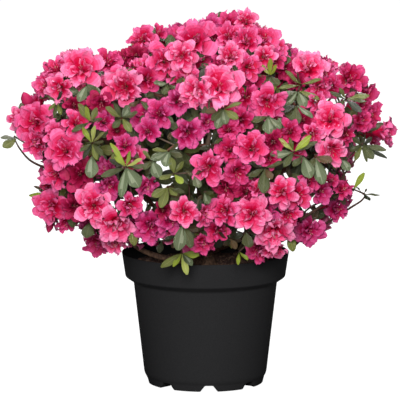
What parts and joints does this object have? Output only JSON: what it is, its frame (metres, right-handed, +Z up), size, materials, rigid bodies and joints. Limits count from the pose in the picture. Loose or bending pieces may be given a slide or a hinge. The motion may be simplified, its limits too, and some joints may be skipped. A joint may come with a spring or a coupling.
{
  "type": "potted azalea shrub",
  "caption": "Azalea shrub in full bloom: a wide domed crown of double pink blossoms and small leaves on forking boughs, growing in a round nursery pot.",
  "frame": {"origin": "on the pot's axis, in the plane that its feet stand on", "axes": "+Z up; -Y towards the side that the picture shows; +X to that view's right, along the crown's greatest width"},
  "size_m": [0.4461, 0.4147, 0.4247],
  "materials": {
    "pot": "satin",
    "soil": "matte",
    "bark": "matte",
    "foliage": "matte",
    "blossom": "matte",
    "leaf": "satin"
  },
  "bodies": {
    "root": {"pot": "pot", "soil": "soil", "trunk": "bark", "bough_top": "bark", "foliage_top": "foliage", "bough_side_1": "bark", "foliage_side_1": "foliage", "bough_side_2": "bark", "foliage_side_2": "foliage", "bough_side_3": "bark", "foliage_side_3": "foliage", "bough_side_4": "bark", "foliage_side_4": "foliage", "bough_side_5": "bark", "foliage_side_5": "foliage", "bough_side_6": "bark", "foliage_side_6": "foliage", "bough_low_1": "bark", "foliage_low_1": "foliage", "bough_low_2": "bark", "foliage_low_2": "foliage", "bough_low_3": "bark", "foliage_low_3": "foliage", "bough_low_4": "bark", "foliage_low_4": "foliage", "bough_low_5": "bark", "foliage_low_5": "foliage", "bough_low_6": "bark", "foliage_low_6": "foliage", "bough_high_1": "bark", "foliage_high_1": "foliage", "bough_high_2": "bark", "foliage_high_2": "foliage", "bough_high_3": "bark", "foliage_high_3": "foliage", "bough_high_4": "bark", "foliage_high_4": "foliage", "bough_high_5": "bark", "foliage_high_5": "foliage", "bough_high_6": "bark", "foliage_high_6": "foliage"}
  },
  "joints": []
}
